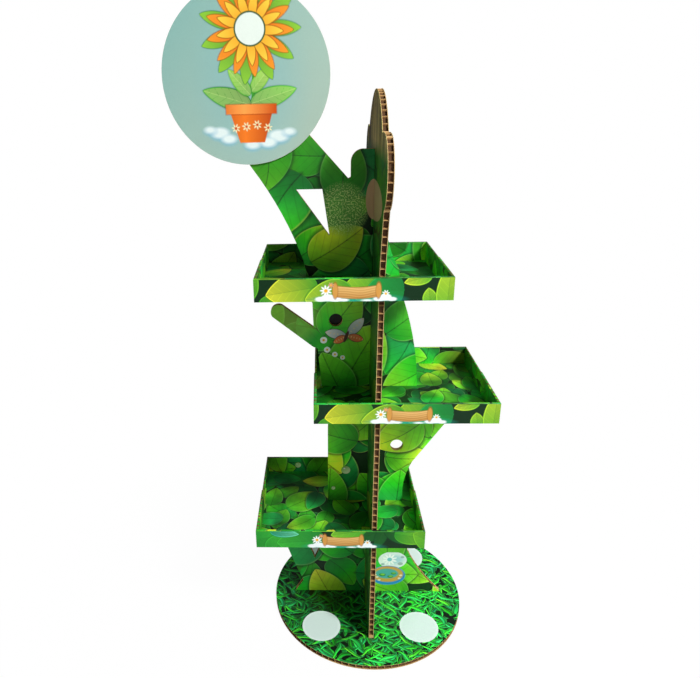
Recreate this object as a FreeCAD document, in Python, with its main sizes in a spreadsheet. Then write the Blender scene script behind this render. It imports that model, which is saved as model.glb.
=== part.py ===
"""Cardboard display stand: two crossing honeycomb boards on a round base carry
three folded trays and a round sign.

Frame: X to the right, Y away from the viewer, Z up. The origin is the centre of
the base disc's underside, and the two boards cross on the Z axis. Millimetres.
"""
import FreeCAD, Part
import Sketcher
import math
import os

Vector = FreeCAD.Vector

os.makedirs("parts", exist_ok=True)
doc = FreeCAD.newDocument("DisplayStand")
sheet = doc.addObject("Spreadsheet::Sheet", "Sizes")


# Driving dimensions

SIZES = [
    ("board", 12.0, "thickness of the honeycomb board"),
    ("liner", 1.0, "printed paper liner on each face of the board"),
    ("cell_pitch", 17.5, "spacing of the honeycomb cells along a cut edge"),
    ("cell_web", 6.0, "foot of the paper wall between two cut cells"),
    ("cell_depth", 5.0, "how deep a cut cell is open at the edge"),
    ("core_recess", 0.4, "how far the core lies behind the liners at an edge"),
    ("hole_chord", 6.0, "straight runs of the core round a plain hole"),
    ("slot_gap", 0.3, "clearance on each side of a board in a slot"),

    ("base_radius", 250.0, "round base"),
    ("tab_width", 60.0, "tab of a board in its slot in the base"),
    ("tab_floor_gap", 0.5, "how far a tab ends above the floor"),
    ("tree_tab_place", 120.0, "middle of the tree board's tabs, left and right of the crossing"),
    ("spine_front_tab", 90.0, "middle of the spine board's front tab, ahead of the crossing"),
    ("spine_back_tab", 62.0, "middle of the spine board's back tab, behind the crossing"),
    ("lap_level", 600.0, "height where the two boards' half laps meet"),

    ("tray_width", 388.0, "tray, outside, left to right"),
    ("tray_depth", 317.0, "tray, outside, front to back"),
    ("tray_height", 47.5, "tray, outside, underside to lip"),
    ("tray_wall", 6.0, "tray wall, rolled over double"),
    ("tray_floor", 3.0, "tray floor, one layer of corrugated board"),
    ("tray_wrap", 1.5, "end tab of the front lip, glued round the side wall"),
    ("wrap_reach", 160.0, "how far back the end tabs reach"),
    ("tray_roll", 2.0, "radius of the rolled top of a tray wall"),
    ("tray_front", 185.5, "front of every tray, ahead of the crossing"),
    ("top_level", 906.0, "underside of the top tray"),
    ("middle_level", 635.0, "underside of the middle tray"),
    ("bottom_level", 309.0, "underside of the bottom tray"),
    ("top_shift", 57.0, "top tray's middle, left of the crossing"),
    ("middle_shift", 57.0, "middle tray's middle, right of the crossing"),
    ("bottom_shift", 80.0, "bottom tray's middle, left of the crossing"),

    ("spine_front", 168.0, "spine board's front edge, ahead of the crossing"),
    ("spine_back", 112.0, "spine board's back edge, behind the crossing"),
    ("neck", 40.0, "where the spine board starts to widen, above the top tray's underside"),
    ("crown_reach", 250.0, "crown's lobes, ahead of and behind the crossing"),
    ("crown_rise", 385.0, "crown's top above the top tray's underside"),
    ("top_left", 152.0, "tree board in the top tray's slot, left of the crossing"),
    ("top_right", 54.0, "tree board in the top tray's slot, right of the crossing"),
    ("middle_left", 120.0, "tree board in the middle tray's slot, left of the crossing"),
    ("middle_right", 106.0, "tree board in the middle tray's slot, right of the crossing"),
    ("bottom_left", 105.0, "tree board in the bottom tray's slot, left of the crossing"),
    ("bottom_right", 85.0, "tree board in the bottom tray's slot, right of the crossing"),
    ("ledge", 14.0, "step of the tree board under a tray floor"),
    ("slot_rise", 15.0, "how far above a tray's underside the tree board keeps its slot's width"),
    ("lobe_rise", 271.0, "top of the tree board's lobe above the top tray's underside"),
    ("bracket_inset", 4.5, "how far a bracket's tip stays inside its tray"),
    ("foot_left", 195.0, "tree board on the base, left of the crossing"),
    ("foot_right", 200.0, "tree board on the base, right of the crossing"),
    ("hole_radius", 15.5, "round holes in the tree board"),

    ("sign_radius", 167.5, "round sign"),
    ("sign_thick", 5.0, "round sign, one sheet of corrugated board"),
    ("sign_left", 265.0, "sign's middle, left of the crossing"),
    ("sign_rise", 412.5, "sign's middle above the top tray's underside"),
]

for row, (alias, value, meaning) in enumerate(SIZES, start=1):
    sheet.set("A%d" % row, meaning)
    sheet.set("B%d" % row, str(value))
    sheet.setAlias("B%d" % row, alias)
doc.recompute()


def size(alias):
    return float(sheet.get(alias))


board = size("board")
slot_gap = size("slot_gap")
half_slot = board / 2 + slot_gap
lap_level = size("lap_level")


# Outlines, drawn in a board's own plane with the material on the left of the line

def mix(low, high, share):
    """Height between two levels, by its share of the way up."""
    return low + share * (high - low)


def outline(start, moves):
    """Closed outline as (edge, has open cells) pairs.

    A move is ("cut", point) for a straight cut edge, ("shut", point) for a straight edge
    that bears on another board, or ("arc", middle, point) for a curved cut edge.
    """
    edges = []
    here = Vector(start[0], start[1], 0)
    for kind, *points in moves:
        ends = [Vector(x, y, 0) for x, y in points]
        if kind == "arc":
            curve = Part.Arc(here, ends[0], ends[1])
        else:
            curve = Part.LineSegment(here, ends[0])
        edges.append((curve.toShape(), kind != "shut"))
        here = ends[-1]
    return edges


def circle_outline(centre, radius, open_cells, clockwise):
    """Circle of two half arcs: clockwise round a hole, the other way round a disc."""
    x, y = centre
    turn = -1 if clockwise else 1
    halves = []
    for side in (1, -1):
        start = Vector(x + side * radius, y, 0)
        middle = Vector(x, y + side * turn * radius, 0)
        end = Vector(x - side * radius, y, 0)
        halves.append((Part.Arc(start, middle, end).toShape(), open_cells))
    return halves


def box_hole(left, right, low, high):
    """Rectangular slot through a board, clockwise."""
    return outline((left, low), [("shut", (left, high)), ("shut", (right, high)),
                                 ("shut", (right, low)), ("shut", (left, low))])


# Honeycomb board: two paper liners on a core whose cells are cut open along the edges

def into_board(edge, parameter):
    """Unit vector from the line into the material, which is on its left."""
    tangent = edge.tangentAt(parameter)
    return Vector(-tangent.y, tangent.x, 0)


def inset_corner(before, after, depth):
    """Corner between two edges, moved into the material by depth."""
    one = into_board(before, before.LastParameter)
    two = into_board(after, after.FirstParameter)
    corner = after.valueAt(after.FirstParameter)
    return corner + (one + two) * (depth / (1 + one.dot(two)))


def corner_margin(before, after):
    """Length beside a corner that keeps its cells whole: cells of both edges meet there."""
    one = before.tangentAt(before.LastParameter)
    two = after.tangentAt(after.FirstParameter)
    turn = math.atan2(one.cross(two).z, one.dot(two))
    crowding = size("cell_depth") * math.tan(max(turn, 0) / 2)
    return size("cell_web") / 2 + crowding


def core_ring(edges):
    """Outline of the core: along each cut edge a cell wall's tip and a cell's floor in turn."""
    recess, depth = size("core_recess"), size("cell_depth")
    pitch, web = size("cell_pitch"), size("cell_web")
    ring = []
    for index, (edge, open_cells) in enumerate(edges):
        before = edges[index - 1][0]
        after = edges[(index + 1) % len(edges)][0]
        ring.append(inset_corner(before, edge, recess))
        first = corner_margin(before, edge)
        room = edge.Length - first - corner_margin(edge, after)
        curved = edge.Curve.TypeId == "Part::GeomCircle"
        spacing = pitch if open_cells else size("hole_chord")
        cells = round(room / spacing) if open_cells or curved else 0
        if cells < 1:
            continue
        step = room / cells
        stops = [(first, recess)]
        for cell in range(cells):
            start = first + cell * step
            if open_cells:
                stops += [(start + web / 2, depth), (start + step - web / 2, depth)]
            stops.append((start + step, recess))
        for along, inset in stops:
            parameter = edge.getParameterByLength(along)
            ring.append(edge.valueAt(parameter) + into_board(edge, parameter) * inset)
    return Part.Wire([Part.LineSegment(ring[i - 1], ring[i]).toShape() for i in range(len(ring))])


def liner_ring(edges):
    return Part.Wire([edge for edge, open_cells in edges])


def layer(rings, low, thickness):
    """Sheet with an outline and holes, its thickness along the local Z axis."""
    sheet_face = Part.Face(rings[0])
    for ring in rings[1:]:
        sheet_face = sheet_face.cut(Part.Face(ring))
    sheet_face.translate(Vector(0, 0, low))
    return sheet_face.extrude(Vector(0, 0, thickness))


def honeycomb(edges, holes, blind_holes=()):
    """Board centred on its own plane. Blind holes stop at the back liner."""
    liner = size("liner")
    through = [edges] + list(holes)
    pierced = through + list(blind_holes)
    back = layer([liner_ring(ring) for ring in through], -board / 2, liner)
    core = layer([core_ring(ring) for ring in pierced], liner - board / 2, board - 2 * liner)
    front = layer([liner_ring(ring) for ring in pierced], board / 2 - liner, liner)
    return back.fuse([core, front])


def board_piece(name, shape, placement):
    """One die-cut board as an object of the document, standing in its place."""
    piece = doc.addObject("Part::Feature", "Board")
    piece.Label = name
    piece.Shape = shape
    piece.Placement = placement
    return piece


def tab(middle, top):
    """Path along a board's lower edge, left to right, round one tab."""
    half = size("tab_width") / 2
    low = size("tab_floor_gap")
    return [("shut", (middle - half, top)), ("shut", (middle - half, low)),
            ("shut", (middle + half, low)), ("shut", (middle + half, top))]


# Base disc with slots for the boards' tabs

def tab_slot(middle, along_x):
    half_length = size("tab_width") / 2 + slot_gap
    if along_x:
        return box_hole(middle - half_length, middle + half_length, -half_slot, half_slot)
    return box_hole(-half_slot, half_slot, middle - half_length, middle + half_length)


base_holes = [tab_slot(-size("tree_tab_place"), True), tab_slot(size("tree_tab_place"), True),
              tab_slot(-size("spine_front_tab"), False), tab_slot(size("spine_back_tab"), False)]
base_rim = circle_outline((0, 0), size("base_radius"), True, False)
base = board_piece("base_disc", honeycomb(base_rim, base_holes),
                   FreeCAD.Placement(Vector(0, 0, board / 2), FreeCAD.Rotation()))


# Spine board, front to back: straight below, a crown of three round lobes on top.
# Its own plane has Y to the right and Z up.

top_level = size("top_level")
middle_level = size("middle_level")
bottom_level = size("bottom_level")
spine_front = size("spine_front")
spine_back = size("spine_back")
neck = size("neck")


def crown(across, rise):
    """Point of the crown, as shares of its reach from the crossing and of its rise."""
    return (across * size("crown_reach"), top_level + rise * size("crown_rise"))


spine_outline = outline((-spine_front, board), tab(-size("spine_front_tab"), board) + [
    ("shut", (-half_slot, board)),
    ("shut", (-half_slot, lap_level + slot_gap)),
    ("shut", (half_slot, lap_level + slot_gap)),
    ("shut", (half_slot, board)),
] + tab(size("spine_back_tab"), board) + [
    ("shut", (spine_back, board)),
    ("cut", (spine_back, top_level + neck)),
    ("arc", crown(0.52, 0.29), crown(0.712, 0.457)),
    ("arc", crown(0.964, 0.634), crown(0.824, 0.795)),
    ("arc", crown(0.728, 0.813), crown(0.612, 0.8)),
    ("arc", crown(0.004, 1), crown(-0.604, 0.8)),
    ("arc", crown(-0.736, 0.805), crown(-0.864, 0.792)),
    ("arc", crown(-1.04, 0.639), crown(-0.856, 0.462)),
    ("arc", crown(-0.76, 0.29), (-spine_front, top_level + neck)),
    ("cut", (-spine_front, board)),
])
spine = board_piece("spine_board", honeycomb(spine_outline, []),
                    FreeCAD.Placement(Vector(0, 0, 0), FreeCAD.Rotation(Vector(1, 1, 1), 120)))


# Tree board, left to right: feet, brackets and ledges that carry the trays, a stub, a
# lobe and the branch behind the sign. Its own plane has X to the right and Z up, and the
# half lap is open at the top. The widths typed in the curves were read from the photograph.

ledge = size("ledge")
top_left, top_right = size("top_left"), size("top_right")
middle_left, middle_right = size("middle_left"), size("middle_right")
bottom_left, bottom_right = size("bottom_left"), size("bottom_right")
bracket_reach = size("tray_width") / 2 - size("bracket_inset")
middle_bracket = size("middle_shift") + bracket_reach
bottom_bracket = -size("bottom_shift") - bracket_reach
slot_rise = size("slot_rise")
lobe_top = top_level + size("lobe_rise")

feet = tab(-size("tree_tab_place"), board) + tab(size("tree_tab_place"), board)
right_side = [
    ("shut", (size("foot_right"), board)),
    ("arc", (134, mix(board, bottom_level, 0.283)), (105, mix(board, bottom_level, 0.475))),
    ("cut", (bottom_right + ledge, bottom_level)),
    ("shut", (bottom_right, bottom_level)),
    ("shut", (bottom_right, bottom_level + slot_rise)),
    ("arc", (bottom_right + 4, mix(bottom_level, middle_level, 0.22)),
            (bottom_right + 20, mix(bottom_level, middle_level, 0.362))),
    ("cut", (middle_bracket, middle_level)),
    ("shut", (middle_right, middle_level)),
    ("shut", (middle_right, middle_level + slot_rise)),
    ("arc", (95, mix(middle_level, top_level, 0.4)), (67, mix(middle_level, top_level, 0.797))),
    ("cut", (top_right + 2 * ledge, top_level)),
    ("shut", (top_right, top_level)),
    ("shut", (top_right, top_level + slot_rise)),
    ("arc", (35, top_level + 55), (24, top_level + 100)),
    ("cut", (24, lobe_top - 20)),
    ("arc", (20, lobe_top - 6), (half_slot + 3, lobe_top)),
    ("shut", (half_slot, lobe_top)),
]
half_lap = [
    ("shut", (half_slot, lap_level)),
    ("shut", (-half_slot, lap_level)),
    ("shut", (-half_slot, lobe_top)),
]
lobe_and_branch = [
    ("cut", (-26, lobe_top)),
    ("arc", (-47, lobe_top - 7), (-55, lobe_top - 26)),
    ("cut", (-55, lobe_top - 56)),
    ("cut", (-60, lobe_top - 59)),
    ("cut", (-219, lobe_top + 116)),
    ("arc", (-304, lobe_top + 157), (-346, lobe_top + 85)),
    ("cut", (-262, lobe_top - 33)),
    ("arc", (-206, lobe_top - 122), (-top_left - 6, top_level + 40)),
    ("cut", (-top_left, top_level + slot_rise)),
]
stub = [
    ("shut", (-top_left, top_level)),
    ("shut", (-top_left - 2 * ledge, top_level)),
    ("cut", (-139, mix(middle_level, top_level, 0.78))),
    ("cut", (-137, mix(middle_level, top_level, 0.561))),
    ("cut", (-208, mix(middle_level, top_level, 0.76))),
    ("arc", (-229, mix(middle_level, top_level, 0.748)), (-231, mix(middle_level, top_level, 0.66))),
    ("cut", (-138, mix(middle_level, top_level, 0.384))),
    ("cut", (-128, mix(middle_level, top_level, 0.37))),
]
left_side = [
    ("cut", (-middle_left, middle_level + slot_rise)),
    ("shut", (-middle_left, middle_level)),
    ("shut", (-middle_left - ledge, middle_level)),
    ("arc", (-113, mix(bottom_level, middle_level, 0.86)), (-105, mix(bottom_level, middle_level, 0.64))),
    ("cut", (-bottom_left, bottom_level + slot_rise)),
    ("shut", (-bottom_left, bottom_level)),
    ("shut", (bottom_bracket, bottom_level)),
    ("cut", (-212, mix(board, bottom_level, 0.478))),
    ("arc", (-193, mix(board, bottom_level, 0.29)), (-173, mix(board, bottom_level, 0.121))),
    ("cut", (-size("foot_left"), board)),
]
tree_outline = outline((-size("foot_left"), board),
                       feet + right_side + half_lap + lobe_and_branch + stub + left_side)

branch_window = outline((-171, lobe_top - 79), [("cut", (-115, lobe_top - 79)),
                                                ("cut", (-100, lobe_top - 178)),
                                                ("cut", (-171, lobe_top - 79))])
foot_window = outline((-141, mix(board, bottom_level, 0.377)),
                      [("cut", (-190, mix(board, bottom_level, 0.84))),
                       ("cut", (-86, mix(board, bottom_level, 0.84))),
                       ("cut", (-141, mix(board, bottom_level, 0.377)))])
low_hole = circle_outline((65, mix(bottom_level, middle_level, 0.51)), size("hole_radius"), False, True)
high_hole = circle_outline((-86, mix(middle_level, top_level, 0.627)), size("hole_radius"), False, True)
tree = board_piece("tree_board",
                   honeycomb(tree_outline, [branch_window, foot_window, low_hole], [high_hole]),
                   FreeCAD.Placement(Vector(0, 0, 0), FreeCAD.Rotation(Vector(1, 0, 0), 90)))


# Folded pieces, as bodies whose sketches are bound to the sheet

def ground_plane(body, role):
    return [plane for plane in body.Origin.OriginFeatures if plane.Role == role][0]


def sketch_on(body, role, name):
    sketch = body.newObject("Sketcher::SketchObject", name)
    sketch.AttachmentSupport = [(ground_plane(body, role), "")]
    sketch.MapMode = "FlatFace"
    return sketch


def bind(sketch, kind, first, first_end, second, second_end, expression):
    """Distance from one point to another along an axis, worked out from the sheet."""
    constraint = sketch.addConstraint(
        Sketcher.Constraint(kind, first, first_end, second, second_end, 1.0))
    sketch.setExpression("Constraints[%d]" % constraint, expression)


def rectangle(sketch, left, right, low, high):
    """Rectangle whose sides lie at four expressions from the sketch's origin."""
    corners = [Vector(1, 1, 0), Vector(2, 1, 0), Vector(2, 2, 0), Vector(1, 2, 0)]
    first_side = sketch.GeometryCount
    for side in range(4):
        sketch.addGeometry(Part.LineSegment(corners[side], corners[(side + 1) % 4]))
    for side in range(4):
        following = first_side + (side + 1) % 4
        sketch.addConstraint(Sketcher.Constraint("Coincident", first_side + side, 2, following, 1))
        direction = "Horizontal" if side % 2 == 0 else "Vertical"
        sketch.addConstraint(Sketcher.Constraint(direction, first_side + side))
    bind(sketch, "DistanceX", -1, 1, first_side, 1, left)
    bind(sketch, "DistanceX", -1, 1, first_side, 2, right)
    bind(sketch, "DistanceY", -1, 1, first_side, 1, low)
    bind(sketch, "DistanceY", -1, 1, first_side + 2, 1, high)


def pad(body, sketch, length):
    feature = body.newObject("PartDesign::Pad", "Pad")
    feature.Profile = sketch
    feature.setExpression("Length", length)
    return feature


def pocket_up(body, sketch, length):
    """Pocket that cuts upwards from the sketch's plane."""
    feature = body.newObject("PartDesign::Pocket", "Pocket")
    feature.Profile = sketch
    feature.Reversed = True
    feature.setExpression("Length", length)
    return feature


def tray(name, level, middle, left, right):
    """Folded tray in its own frame, from its front left corner, with slots for the boards.

    middle, left and right are expressions: the tray's middle from the crossing, and the
    tree board's reach on each side of the crossing at this level.
    """
    body = doc.addObject("PartDesign::Body", "Tray")
    body.Label = name
    crossing = "(Sizes.tray_width / 2 - (%s))" % middle
    slot_half = "(Sizes.board / 2 + Sizes.slot_gap)"

    floor_sketch = sketch_on(body, "XY_Plane", "Floor")
    rectangle(floor_sketch, "0", "Sizes.tray_width", "0", "Sizes.tray_depth")
    pad(body, floor_sketch, "Sizes.tray_floor")

    wall_sketch = sketch_on(body, "XY_Plane", "Walls")
    rectangle(wall_sketch, "0", "Sizes.tray_width", "0", "Sizes.tray_depth")
    rectangle(wall_sketch, "Sizes.tray_wall", "Sizes.tray_width - Sizes.tray_wall",
              "Sizes.tray_wall", "Sizes.tray_depth - Sizes.tray_wall")
    pad(body, wall_sketch, "Sizes.tray_height")

    wrap_sketch = sketch_on(body, "XY_Plane", "BehindWraps")
    rectangle(wrap_sketch, "0", "Sizes.tray_wrap", "Sizes.wrap_reach", "Sizes.tray_depth")
    rectangle(wrap_sketch, "Sizes.tray_width - Sizes.tray_wrap", "Sizes.tray_width",
              "Sizes.wrap_reach", "Sizes.tray_depth")
    pocket_up(body, wrap_sketch, "Sizes.tray_height")

    spine_sketch = sketch_on(body, "XY_Plane", "SpineSlot")
    rectangle(spine_sketch, crossing + " - " + slot_half, crossing + " + " + slot_half,
              "Sizes.tray_front - Sizes.spine_front - Sizes.slot_gap",
              "Sizes.tray_front + Sizes.spine_back + Sizes.slot_gap")
    pocket_up(body, spine_sketch, "Sizes.tray_floor")

    tree_sketch = sketch_on(body, "XY_Plane", "TreeSlot")
    rectangle(tree_sketch, "%s - %s - Sizes.slot_gap" % (crossing, left),
              "%s + %s + Sizes.slot_gap" % (crossing, right),
              "Sizes.tray_front - " + slot_half, "Sizes.tray_front + " + slot_half)
    cut = pocket_up(body, tree_sketch, "Sizes.tray_floor")
    doc.recompute()

    height = size("tray_height")
    rolled = ["Edge%d" % (number + 1) for number, edge in enumerate(cut.Shape.Edges)
              if all(abs(vertex.Z - height) < 1e-6 for vertex in edge.Vertexes)]
    roll = body.newObject("PartDesign::Fillet", "Roll")
    roll.Base = (cut, rolled)
    roll.setExpression("Radius", "min(Sizes.tray_roll; 0.45 * (Sizes.tray_wall - Sizes.tray_wrap))")

    body.setExpression("Placement.Base.x", "(%s) - Sizes.tray_width / 2" % middle)
    body.setExpression("Placement.Base.y", "-Sizes.tray_front")
    body.setExpression("Placement.Base.z", level)
    return body


trays = [
    tray("top_tray", "Sizes.top_level", "-Sizes.top_shift", "Sizes.top_left", "Sizes.top_right"),
    tray("middle_tray", "Sizes.middle_level", "Sizes.middle_shift",
         "Sizes.middle_left", "Sizes.middle_right"),
    tray("bottom_tray", "Sizes.bottom_level", "-Sizes.bottom_shift",
         "Sizes.bottom_left", "Sizes.bottom_right"),
]


def round_sign():
    """Disc glued to the front of the branch."""
    body = doc.addObject("PartDesign::Body", "Sign")
    body.Label = "round_sign"
    disc = sketch_on(body, "XZ_Plane", "Disc")
    disc.addGeometry(Part.Circle(Vector(0, 0, 0), Vector(0, 0, 1), 1.0))
    disc.addConstraint(Sketcher.Constraint("Coincident", 0, 3, -1, 1))
    radius = disc.addConstraint(Sketcher.Constraint("Radius", 0, 1.0))
    disc.setExpression("Constraints[%d]" % radius, "Sizes.sign_radius")
    pad(body, disc, "Sizes.sign_thick")
    body.setExpression("Placement.Base.x", "-Sizes.sign_left")
    body.setExpression("Placement.Base.y", "-Sizes.board / 2")
    body.setExpression("Placement.Base.z", "Sizes.top_level + Sizes.sign_rise")
    return body


pieces = [base, spine, tree] + trays + [round_sign()]


# Check every object, then write one file for each piece

doc.recompute()
for item in doc.Objects:
    if "Invalid" in item.State or "Error" in item.State:
        raise RuntimeError("%s is not built: %s" % (item.Label, item.State))
for piece in pieces:
    if piece.Shape.isNull() or not piece.Shape.isValid() or len(piece.Shape.Solids) != 1:
        raise RuntimeError("%s is not one sound solid" % piece.Label)
for piece in pieces:
    piece.Shape.exportStep("parts/%s.step" % piece.Label)
    bounds = piece.Shape.BoundBox
    print("%-12s %8.0f cm3  x %.1f %.1f  y %.1f %.1f  z %.1f %.1f" % (
        piece.Label, piece.Shape.Volume / 1000, bounds.XMin, bounds.XMax,
        bounds.YMin, bounds.YMax, bounds.ZMin, bounds.ZMax))
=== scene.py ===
"""Dressed cardboard display stand: printed honeycomb boards, folded trays and a round sign.

Metres, in the CAD model's frame: X to the right, Y away from the viewer, Z up.
"""
import math

import bmesh
import bpy
import numpy as np
from mathutils import Matrix, Vector


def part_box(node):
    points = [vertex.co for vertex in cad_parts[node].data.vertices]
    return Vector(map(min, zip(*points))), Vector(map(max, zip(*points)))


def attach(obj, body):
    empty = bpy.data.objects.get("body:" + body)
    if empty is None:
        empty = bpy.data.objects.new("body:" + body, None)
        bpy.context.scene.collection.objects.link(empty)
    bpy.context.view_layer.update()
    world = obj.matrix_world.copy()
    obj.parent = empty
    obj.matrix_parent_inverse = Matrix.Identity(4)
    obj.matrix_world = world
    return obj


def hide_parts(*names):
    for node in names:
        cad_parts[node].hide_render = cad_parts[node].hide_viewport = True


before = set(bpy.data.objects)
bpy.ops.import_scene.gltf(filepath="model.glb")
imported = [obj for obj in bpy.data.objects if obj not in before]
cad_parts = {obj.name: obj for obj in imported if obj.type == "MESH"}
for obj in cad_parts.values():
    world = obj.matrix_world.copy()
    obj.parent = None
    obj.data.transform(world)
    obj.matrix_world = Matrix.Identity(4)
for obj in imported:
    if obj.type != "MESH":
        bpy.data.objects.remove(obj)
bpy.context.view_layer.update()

MM = 0.001
FULL_TURN = 2 * math.pi


def linear(hex_colour):
    """sRGB hex to linear RGB.

    A share c of up to 0.04045 is divided by 12.92; above it is ((c + 0.055) / 1.055) ** 2.4.
    """
    shares = np.array([int(hex_colour[i:i + 2], 16) / 255 for i in (1, 3, 5)])
    return np.where(shares <= 0.04045, shares / 12.92, ((shares + 0.055) / 1.055) ** 2.4)


def paint(hex_colour):
    """Linear colour with full cover, for a colour socket."""
    return (*linear(hex_colour), 1.0)


def new_object(name, data):
    """New object in the scene."""
    made = bpy.data.objects.new(name, data)
    bpy.context.scene.collection.objects.link(made)
    return made


# Camera, fitted to the photograph

IMAGE_WIDTH = 700
IMAGE_HEIGHT = 678
FOCAL_PIXELS = 608.5
AXIS_PIXEL = (293.4, 348.2)
SENSOR_MM = 36.0
CAMERA_PLACE = (-0.1204, -1.3243, 1.2667)
YAW = math.radians(-2.794)
DIP = math.radians(21.889)
ROLL = math.radians(-1.499)


def photo_camera():
    """Camera at the photographer's place, turned by YAW, tipped down by DIP and rolled by ROLL."""
    level = Vector((math.sin(YAW), math.cos(YAW), 0))
    right = Vector((math.cos(YAW), -math.sin(YAW), 0))
    ahead = level * math.cos(DIP) - Vector((0, 0, math.sin(DIP)))
    up = level * math.sin(DIP) + Vector((0, 0, math.cos(DIP)))
    rolled_right = right * math.cos(ROLL) + up * math.sin(ROLL)
    rolled_up = up * math.cos(ROLL) - right * math.sin(ROLL)
    data = bpy.data.cameras.new("photo_camera")
    data.sensor_width = SENSOR_MM
    data.lens = SENSOR_MM * FOCAL_PIXELS / IMAGE_WIDTH
    data.shift_x = (IMAGE_WIDTH / 2 - AXIS_PIXEL[0]) / IMAGE_WIDTH
    data.shift_y = (AXIS_PIXEL[1] - IMAGE_HEIGHT / 2) / IMAGE_WIDTH
    camera = new_object("photo_camera", data)
    turn = Matrix((rolled_right, rolled_up, -ahead)).transposed().to_4x4()
    camera.matrix_world = Matrix.Translation(CAMERA_PLACE) @ turn
    bpy.context.scene.camera = camera


photo_camera()


# Nodes

MATH = "ShaderNodeMath"
VECTOR_MATH = "ShaderNodeVectorMath"
MAP_RANGE = "ShaderNodeMapRange"
COORDINATES = "ShaderNodeTexCoord"
NOISE = "ShaderNodeTexNoise"
RAMP = "ShaderNodeValToRGB"
SPLIT = "ShaderNodeSeparateXYZ"
# A mix node takes its share at 0, numbers at 2 and 3, vectors at 4 and 5, colours at 6 and 7.
MIX = "ShaderNodeMix"


def feed(tree, node, sockets):
    """Gives each named input of a node a value, an output or a whole node's first output."""
    for key, value in sockets.items():
        if isinstance(value, bpy.types.Node):
            value = value.outputs[0]
        if isinstance(value, bpy.types.NodeSocket):
            tree.links.new(value, node.inputs[key])
        else:
            node.inputs[key].default_value = value


def add(tree, kind, sockets=None, **settings):
    """Adds a node with its settings by name, and feeds its inputs."""
    node = tree.nodes.new(kind)
    for name, value in settings.items():
        setattr(node, name, value)
    feed(tree, node, sockets or {})
    return node


def set_ramp(node, stops):
    """Gives a colour ramp its stops, as (place, colour) pairs."""
    elements = node.color_ramp.elements
    while len(elements) < len(stops):
        elements.new(0.5)
    for element, (place, colour) in zip(elements, stops):
        element.position = place
        element.color = paint(colour)


def new_tree(name, inputs, output):
    """Node group with named inputs, each (name, kind, value), and one colour or vector output."""
    tree = bpy.data.node_groups.new(name, "ShaderNodeTree")
    for label, kind, value in inputs:
        socket = tree.interface.new_socket(label, in_out="INPUT", socket_type=kind)
        if value is not None:
            socket.default_value = value
    tree.interface.new_socket(output[0], in_out="OUTPUT", socket_type=output[1])
    return tree


LEAF_GREENS = [(0.0, "#04240C"), (0.2, "#08551B"), (0.4, "#10891F"), (0.55, "#2BAF22"),
               (0.72, "#63CB24"), (0.88, "#A8DC2C"), (1.0, "#E6EA3A")]
# Lengths of the leaf layer are shares of a leaf's cell.
LEAF_REACH = 0.42       # half a leaf's length
LEAF_THROW = 0.16       # how far a leaf's middle is thrown about
LEAF_PEAK = 2.38        # brings the leaf's profile to a height of Width
LEAF_EDGE = 0.008       # over which the leaf's cover fades in
SHADE_REACH = 0.06      # how far the shade reaches beyond the rim
VEINS = 7.0             # side veins to a cell
RIM_SHARE = 0.7         # of the rim's own colour in the rim
SEED_STEP = (3.71, 5.37, 1.0)   # moves the cells on from seed to seed


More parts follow.
